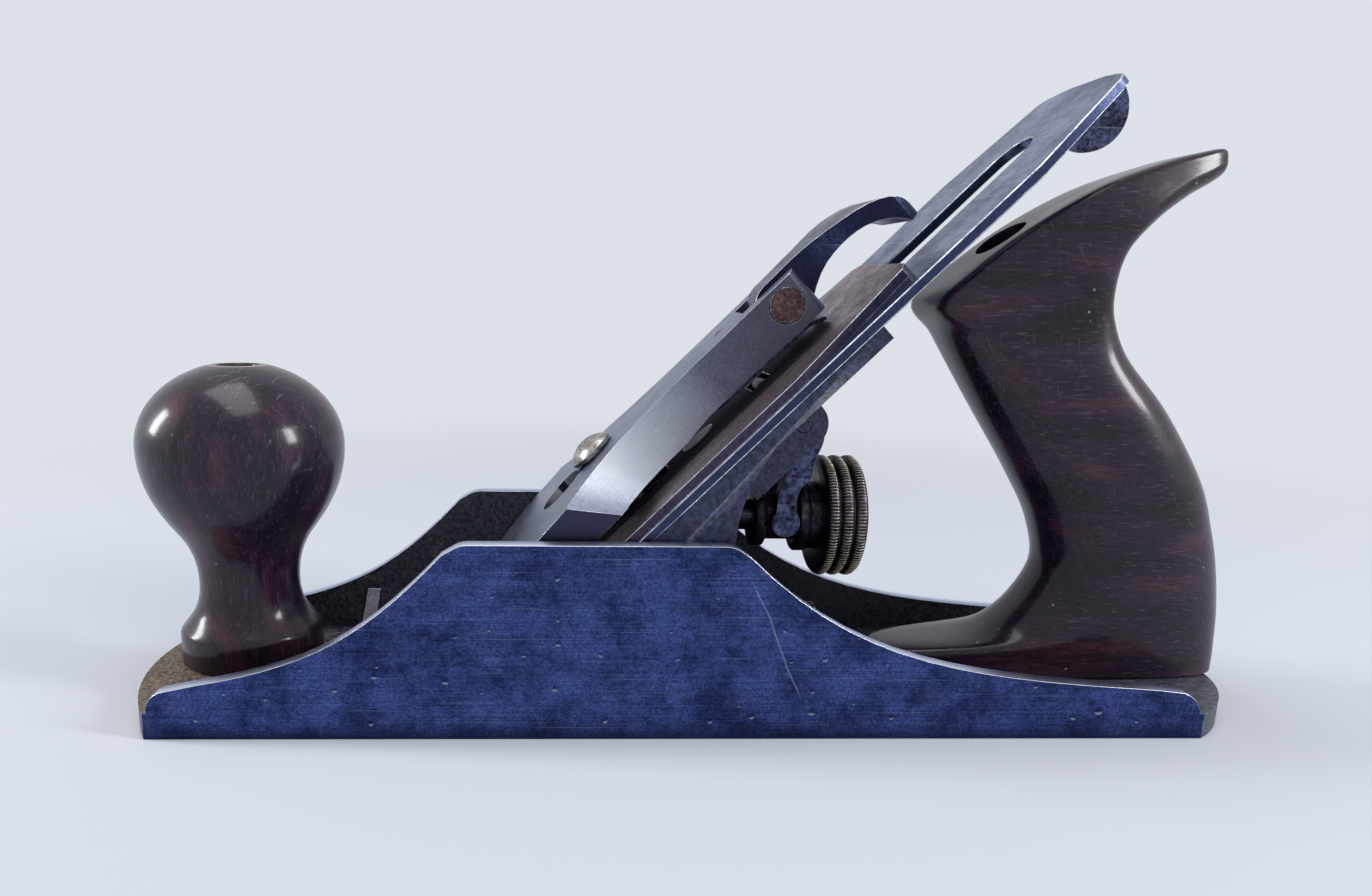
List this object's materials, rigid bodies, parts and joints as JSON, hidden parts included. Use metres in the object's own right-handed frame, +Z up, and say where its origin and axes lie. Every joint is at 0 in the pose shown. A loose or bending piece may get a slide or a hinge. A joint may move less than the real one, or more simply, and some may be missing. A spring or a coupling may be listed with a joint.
{
  "type": "smoothing plane",
  "caption": "Metal smoothing plane with adjustable frog, cap iron, lever cap with cam, depth wheel, lateral lever, round front knob and curved rear handle.",
  "frame": {"origin": "on the sole, on the middle line of the plane, halfway between the straight ends of the cheeks", "axes": "+X from toe to heel, +Y to the far cheek, +Z up from the sole"},
  "size_m": [0.2276, 0.054, 0.1255],
  "materials": {
    "casting": "worn dark japanning inside, scratched and darkened iron outside",
    "rosewood": "dark oiled rosewood, glossy with fine scratches",
    "stud_steel": "dull steel",
    "nut_brass": "tarnished brass",
    "frog_iron": "japanned iron",
    "screw_steel": "dark steel",
    "wheel_brass": "dark patina with bright crests",
    "lever_steel": "blackened steel",
    "cutter_steel": "ground tool steel, worn",
    "cap_iron_steel": "steel with a brown patina",
    "cap_steel": "satin grey steel",
    "screw_nickel": "worn nickel",
    "cam_iron": "dark with bright top edge",
    "pin_steel": "brown patina"
  },
  "bodies": {
    "base": {"base_casting": "casting", "front_knob": "rosewood", "knob_stud": "stud_steel", "knob_nut": "nut_brass", "rear_handle": "rosewood", "handle_stud": "stud_steel", "handle_nut": "nut_brass", "frog_screws": "screw_steel", "frog_washers": "screw_steel"},
    "frog": {"frog": "frog_iron", "depth_stud": "stud_steel", "yoke_pin": "pin_steel", "lateral_pivot": "pin_steel", "lever_cap_screw": "screw_nickel", "frog_fork": "screw_steel", "frog_fork_screw": "screw_steel"},
    "frog_adjusting_screw": {"frog_adjusting_screw": "screw_steel"},
    "depth_wheel": {"depth_wheel": "wheel_brass"},
    "yoke_lever": {"yoke_lever": "lever_steel"},
    "cap_iron_screw": {"cap_iron_screw": "screw_steel"},
    "iron": {"cutter": "cutter_steel", "cap_iron": "cap_iron_steel"},
    "lateral_lever": {"lateral_lever": "lever_steel", "roller_rivet": "pin_steel"},
    "lateral_roller": {"lateral_roller": "screw_steel"},
    "lever_cap": {"lever_cap": "cap_steel", "cap_spring": "lever_steel", "spring_rivet": "screw_steel", "cam_pin": "pin_steel"},
    "cam_lever": {"cam_lever": "cam_iron"}
  },
  "joints": [
    {"name": "frog_slide", "type": "slide", "parent": "base", "child": "frog", "axis": [1, 0, 0], "range_m": [-0.0015, 0.0015]},
    {"name": "frog_screw_turn", "type": "hinge", "parent": "frog", "child": "frog_adjusting_screw", "pos_m": [0.0093, 0, 0.016], "axis": [1, 0, 0], "range_deg": [-430, 430]},
    {"name": "depth_wheel_slide", "type": "slide", "parent": "frog", "child": "depth_wheel", "axis": [1, 0, 0], "range_m": [-0.004, 0.0025]},
    {"name": "yoke_swing", "type": "hinge", "parent": "frog", "child": "yoke_lever", "pos_m": [0.02371, 0, 0.05883], "axis": [0, 1, 0], "range_deg": [-7.3, 11.6]},
    {"name": "depth_feed", "type": "slide", "parent": "frog", "child": "cap_iron_screw", "axis": [0.7071, 0, 0.7071], "range_m": [-0.0011, 0.0018]},
    {"name": "iron_tilt", "type": "hinge", "parent": "cap_iron_screw", "child": "iron", "pos_m": [0.00759, 0, 0.05162], "axis": [-0.7071, 0, 0.7071], "range_deg": [-0.62, 0.62]},
    {"name": "lateral_swing", "type": "hinge", "parent": "frog", "child": "lateral_lever", "pos_m": [0.03198, 0, 0.07601], "axis": [-0.7071, 0, 0.7071], "range_deg": [-6, 6]},
    {"name": "roller_turn", "type": "hinge", "parent": "lateral_lever", "child": "lateral_roller", "pos_m": [0.02633, 0, 0.07036], "axis": [-0.7071, 0, 0.7071], "continuous": true},
    {"name": "lever_cap_lift", "type": "slide", "parent": "frog", "child": "lever_cap", "axis": [0.7071, 0, 0.7071], "range_m": [0, 0.01]},
    {"name": "cam_turn", "type": "hinge", "parent": "lever_cap", "child": "cam_lever", "pos_m": [0.01954, 0, 0.08139], "axis": [0, -1, 0], "range_deg": [0, 95]}
  ],
  "couplings": [
    {"joint": "frog_screw_turn", "follows": "frog_slide", "rad_per_m": 4947.4},
    {"joint": "yoke_swing", "follows": "depth_wheel_slide", "rad_per_m": -48.945},
    {"joint": "depth_feed", "follows": "depth_wheel_slide", "ratio": -0.4209},
    {"joint": "iron_tilt", "follows": "lateral_swing", "ratio": -0.1}
  ]
}
